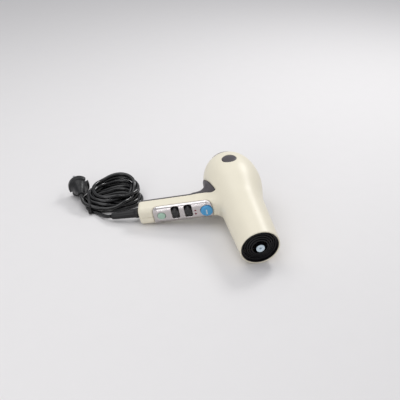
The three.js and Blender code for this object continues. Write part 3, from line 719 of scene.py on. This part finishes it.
def badges():
    """A blank dark lens on each side of the barrel, domed like the barrel."""
    def crown(r):
        return math.sqrt(BULGE_R ** 2 - r * r) - BULGE_R

    for side, name in ((1, "right_badge"), (-1, "left_badge")):
        at, normal, along = badge_place(side)
        outline = [(0, -1.2), (BADGE_R, crown(BADGE_R) - 1.2), (BADGE_R, crown(BADGE_R) + 0.1)]
        outline += [(BADGE_R * k, crown(BADGE_R * k) + 0.25) for k in (0.93, 0.8, 0.6, 0.4, 0.2)]
        outline.append((0, 0.25))
        vertices, faces = lathe(rounded(outline, 0.4, 3), 96)
        turn = Matrix((normal.cross(along), normal, along)).transposed().to_4x4()
        piece(name + "_lens", vertices, faces, DRYER @ Matrix.Translation(at) @ turn,
              "dark_grey_shell", "dryer", replaces=(name,))


badges()

# ---------- switch panel and controls ----------

def panel_solid(u, v, w):
    """A plate round the front of the handle, with a raised rim and a groove inside it."""
    edge = panel_field(u, v)
    relief = 0.95 * np.exp(-((edge + 2.1) / 1.1) ** 2) - 0.55 * np.exp(-((edge + 4.6) / 0.9) ** 2)
    skin = handle_side(u, v, w)
    plate = smax(skin - 0.25 - relief, -(skin + 2.1), 0.8)
    plate = smax(plate, edge + 0.55, 1.0)
    for at in (SPEED_U, HEAT_U):
        qu = np.abs(u - at) - (ROCKER_LENGTH / 2 + 0.5 - 3)
        qw = np.abs(w - ROCKER_W) - (ROCKER_HALF + 0.8 - 3)
        hole = np.hypot(np.maximum(qu, 0), np.maximum(qw, 0)) + np.minimum(np.maximum(qu, qw), 0) - 3
        plate = smax(plate, -hole, 0.8)
    for at, r in ((COOL_U, COOL_R), (ION_U, ION_R)):
        plate = smax(plate, r + 0.3 - np.hypot(u - at, w), 0.8)
    return plate


def panel():
    low, high = (PANEL_START - 2, PANEL_SIDE_V - 3, -18.5), (PANEL_END + 2, 18, 18.5)
    points, quads, normals = surface(panel_solid, low, high, 0.7)
    piece("switch_panel_plate", points, quads, HANDLE, "silver_panel", "dryer", normals,
          replaces=("switch_panel",))


def rocker_field(u, v, w):
    """One rocker about its pivot: two shallow paddles, a raised lip at each end, rounded all over."""
    c, s = math.cos(ROCKER_TILT), math.sin(ROCKER_TILT)
    a, h = w * c + v * s, v * c - w * s
    t = np.abs(a) / ROCKER_HALF
    top = 4.3 + 0.9 * t ** 1.6 + 0.5 * np.exp(-((t - 0.93) / 0.09) ** 2) + 0.35 * np.exp(-(a / 0.9) ** 2)
    top = top - 0.35 * (u / (ROCKER_LENGTH / 2)) ** 2
    bow = ROCKER_LENGTH / 2 - 1.3 * t ** 2.2
    shape = smax(np.abs(u) - bow, np.abs(a) - ROCKER_HALF, 6.5)
    shape = smax(shape, h - top, 1.8)
    return smax(shape, -2.8 - h, 1.0)


def rockers():
    for node, at in (("speed_rocker", SPEED_U), ("heat_rocker", HEAT_U)):
        reach = (ROCKER_LENGTH / 2 + 1.5, 9, ROCKER_HALF + 2.5)
        points, quads, normals = surface(
            rocker_field, (-reach[0], -6, -reach[2]), reach, 0.5)
        place = HANDLE @ Matrix.Translation((at, float(half_depth(at)) - ROCKER_DEPTH, ROCKER_W))
        piece(node + "_cap", points, quads, place, "switch_black", node, normals, replaces=(node,))


def buttons():
    """Two round caps, each with a hidden flange behind the panel and a slightly domed top."""
    for node, at, r, proud, colour in (
        ("cool_shot_button", COOL_U, COOL_R, COOL_PROUD, "blue_button"),
        ("ion_button", ION_U, ION_R, ION_PROUD, "mint_button"),
    ):
        outline = [(0, -5), (r + 1.1, -5), (r + 1.1, -WALL - 1.5), (r, -WALL - 1.4), (r, proud - 0.6),
                   (r - 1.4, proud), (r * 0.55, proud + 0.35), (0, proud + 0.45)]
        vertices, faces = lathe(rounded(outline, 1.1, 5), 72)
        place = HANDLE @ Matrix.Translation((at, float(half_depth(at)), 0))
        piece(node + "_cap", vertices, faces, place, colour, node, replaces=(node,))


def pill(half_long, half_wide, height, steps=12):
    """A low rounded bar along Z, standing on the XZ plane."""
    outline = []
    for end in (1, -1):
        for k in range(steps + 1):
            a = math.pi * k / steps + (0 if end > 0 else math.pi)
            z = end * (half_long - half_wide) + half_wide * math.sin(a)
            outline.append((half_wide * math.cos(a), z))
    vertices, faces = [], []
    for shrink, y in ((1, 0), (1, height * 0.5), (0.85, height * 0.9), (0.5, height)):
        for x, z in outline:
            centre_z = math.copysign(half_long - half_wide, z)
            vertices.append((x * shrink, y, centre_z + (z - centre_z) * shrink))
    n = len(outline)
    for level in range(3):
        for i in range(n):
            a, b = level * n + i, level * n + (i + 1) % n
            faces.append((a, a + n, b + n, b))
    faces.append(tuple(range(3 * n, 4 * n))[::-1])
    faces.append(tuple(range(n)))
    return vertices, faces


def marks():
    """The light rib on the cool-shot button and two small printed marks beside the heat switch."""
    vertices, faces = pill(4.6, 1.0, 0.7)
    place = HANDLE @ Matrix.Translation((COOL_U, float(half_depth(COOL_U)) + COOL_PROUD + 0.15, -0.6))
    piece("cool_shot_rib", vertices, faces, place, "rib_white", "cool_shot_button")
    panel_v = float(half_depth(MARK_U)) + 0.32
    for name, w, r, sides in (("mark_triangle", 2.6, 2.1, 3), ("mark_dot", -3.6, 1.5, 20)):
        turns = [math.pi / 2 + 2 * math.pi * k / sides for k in range(sides)]
        outline = [(r * math.cos(a), r * math.sin(a)) for a in turns]
        n = len(outline)
        vertices = [(u, y, z) for y in (0, MARK_HEIGHT) for u, z in outline]
        faces = [tuple(range(n)), tuple(range(n, 2 * n))[::-1]]
        faces += [(i, i + n, (i + 1) % n + n, (i + 1) % n) for i in range(n)]
        place = HANDLE @ Matrix.Translation((MARK_U, panel_v, w))
        piece(name, vertices, faces, place, "mark_red", "dryer", smooth=False)


panel()
rockers()
buttons()
marks()

# ---------- outlet ----------

def outlet():
    """The stepped ring grille, recessed in the rim, and the ion emitter in its middle."""
    outer = OUTLET_R - RIM_WALL - 0.3
    base = OUTLET_Y + GRILLE_RECESS

    def front(r):
        return OUTLET_Y + 0.8 + (base - OUTLET_Y - 0.8) * ramp(r, 7, 24)

    def grille(x, y, z):
        rho = np.hypot(x, z)
        face = front(rho)
        ring = np.abs((rho - RING_START_R) % RING_PITCH - RING_PITCH / 2) - RING_HALF
        rings = smax(ring, np.maximum(9.6 - rho, rho - outer + 2), 0.5)
        rings = smax(rings, smax(face - y, y - face - 4, 0.8), 0.8)
        step = math.pi / 3
        angle = np.arctan2(z, x)
        rib = np.abs(rho * np.sin((angle + step / 2) % step - step / 2)) - RIB_HALF
        rib = smax(np.maximum(rib, np.maximum(7.5 - rho, rho - outer + 0.5)),
                   smax(face + 1.6 - y, y - face - 5, 0.6), 0.6)
        rim = smax(np.maximum(outer - 2.2 - rho, rho - outer), smax(base - y, y - base - 8, 0.8), 0.8)
        liner = smax(np.maximum(outer - 1.1 - rho, rho - outer),
                     np.maximum(OUTLET_Y + 0.7 - y, y - base - 2), 0.4)
        rim = smin(rim, liner, 0.4)
        hub = np.maximum(np.maximum(EMITTER_R + 0.3 - rho, rho - GRILLE_HUB_R),
                         np.maximum(OUTLET_Y + 0.8 - EMITTER_PROUD - y, y - OUTLET_Y - 9))
        cup = np.maximum(rho - (GRILLE_HUB_R - 0.2), np.maximum(OUTLET_Y + 4.6 - y, y - OUTLET_Y - 9))
        return smin(smin(smin(smin(rings, rib, 0.5), rim, 0.8), cup, 0.8), hub, 0.6)

    reach = outer + 1
    points, quads, normals = surface(
        grille, (-reach, OUTLET_Y - 1, -reach), (reach, base + 10, reach), 0.7)
    piece("outlet_grille_rings", points, quads, DRYER, "black_plastic", "dryer", normals,
          replaces=("outlet_grille",))
    face = OUTLET_Y - EMITTER_PROUD
    vertices, faces = lathe([
        (EMITTER_HOLE_R, face + 1.6), (1.9, face + 0.7), (2.9, face + 0.35), (EMITTER_R - 1.3, face),
        (EMITTER_R - 0.5, face + 0.15), (EMITTER_R - 0.1, face + 0.7),
        (EMITTER_R - 0.1, OUTLET_Y + EMITTER_BACK), (EMITTER_HOLE_R, OUTLET_Y + EMITTER_BACK),
    ], 72)
    piece("ion_emitter_face", vertices, faces, DRYER, "pale_blue_disc", "dryer",
          replaces=("ion_emitter_disc",))


outlet()

# ---------- intake ----------

def intake():
    """The rear cap: a slotted dome, its rim and the neck that plugs into the barrel."""
    y0 = SHELL_REAR_Y + 0.3
    end_y = y0 + 2.5
    rim_r = float(barrel_radius(np.array(y0)))

    def cap(x, y, z):
        rho = np.hypot(x, z)
        dome_y = CAP_REAR_Y + (end_y + 1 - CAP_REAR_Y) * (rho / rim_r) ** 2
        dome = smax(y - dome_y, dome_y - 2.2 - y, 0.8)
        slot = np.full_like(rho, 1e3)
        for r0, r1 in INTAKE_SLOTS:
            slot = np.minimum(slot, np.abs(rho - (r0 + r1) / 2) - (r1 - r0) / 2)
        step = math.pi / 6
        angle = np.arctan2(z, x)
        spoke = INTAKE_SPOKE_HALF - np.abs(rho * np.sin((angle + step / 2) % step - step / 2))
        dome = smax(dome, -smax(slot, spoke, 0.8), 0.8)
        outer = smax(rho - barrel_radius(y), y - dome_y, 1.6)
        wall = smax(smax(outer, INTAKE_NECK_R - 0.8 - rho, 0.6), y0 - y, 0.6)
        neck = np.maximum(np.maximum(INTAKE_NECK_R - INTAKE_NECK_WALL - rho, rho - INTAKE_NECK_R),
                          np.maximum(INTAKE_NECK_Y - y, y - y0 - 1))
        return smin(smin(smax(dome, rho - 28, 0.5), wall, 0.6), neck, 0.5)

    points, quads, normals = surface(
        cap, (-33, INTAKE_NECK_Y - 1, -33), (33, CAP_REAR_Y + 1.5, 33), 0.75)
    piece("intake_cap_grid", points, quads, DRYER, "dark_grey_shell", "intake", normals,
          replaces=("intake_cap",))


intake()

# ---------- strain relief ----------

def relief():
    """The sleeve at the handle's end: a collar, then a long taper to the cord."""
    outline = rounded([
        (0, -6), (8.9, -6), (8.9, -3.6), (RELIEF_R, -3.4), (RELIEF_R, 1.5), (RELIEF_R + 0.9, 2.2),
        (RELIEF_R + 0.7, 5.5), (RELIEF_R - 0.2, 8), (RELIEF_TIP_R + 0.5, RELIEF_LENGTH - 6),
        (RELIEF_TIP_R, RELIEF_LENGTH - 1), (RELIEF_TIP_R - 1.2, RELIEF_LENGTH - 0.1),
        (0, RELIEF_LENGTH - 0.1),
    ], 1.5, 5)
    vertices, faces = lathe(outline, 72)
    turn = Matrix.Rotation(-math.pi / 2, 4, "Z")
    place = HANDLE @ Matrix.Translation((HANDLE_LENGTH, 0, 0)) @ turn
    piece("strain_relief_sleeve", vertices, faces, place, "soft_black", "dryer",
          replaces=("strain_relief",))


relief()

# ---------- carried CAD nodes ----------

for entry in frame["record"]["subparts"]:
    node = frame["nodes"][entry["node"]]
    node.data.materials.clear()
    node.data.materials.append(MAT[entry["material_slot"]])

# ---------- stage and light ----------

def stage():
    """A plain pale floor."""
    mesh = bpy.data.meshes.new("floor")
    reach = 8
    corners = [(-reach, -reach, 0), (reach, -reach, 0), (reach, reach, 0), (-reach, reach, 0)]
    mesh.from_pydata(corners, [], [(0, 1, 2, 3)])
    floor = bpy.data.objects.new("floor", mesh)
    bpy.context.scene.collection.objects.link(floor)
    floor.location.z = -0.0002
    material = plastic("floor", linear(226, 224, 224), 0.75, grain=0.1, grain_scale=60, shade=0.004)
    mesh.materials.append(material)


def area_light(name, location, target, size, power):
    data = bpy.data.lights.new(name, "AREA")
    data.shape = "RECTANGLE"
    data.size, data.size_y = size
    data.energy = power
    light = bpy.data.objects.new(name, data)
    bpy.context.scene.collection.objects.link(light)
    light.location = location
    light.rotation_mode = "QUATERNION"
    light.rotation_quaternion = (Vector(target) - Vector(location)).to_track_quat("-Z", "Y")


def lights():
    """A soft top light, a small key that draws thin highlights, a low fill and a pale sky."""
    world = bpy.data.worlds.new("studio")
    bpy.context.scene.world = world
    world.use_nodes = True
    world.node_tree.nodes["Background"].inputs["Color"].default_value = (0.96, 0.97, 1.0, 1)
    world.node_tree.nodes["Background"].inputs["Strength"].default_value = 0.55
    area_light("top", (-0.32, 0.12, 1.2), (0, 0.05, 0.02), (1.25, 1.0), 5.7)
    area_light("key", (0.8, 0.7, 1.0), (0, 0.03, 0.02), (0.4, 0.4), 6.2)
    area_light("fill", (-0.7, -0.9, 0.5), (-0.1, 0.02, 0.03), (0.7, 0.5), 2.2)


stage()
lights()
bpy.context.scene.view_settings.view_transform = "Standard"
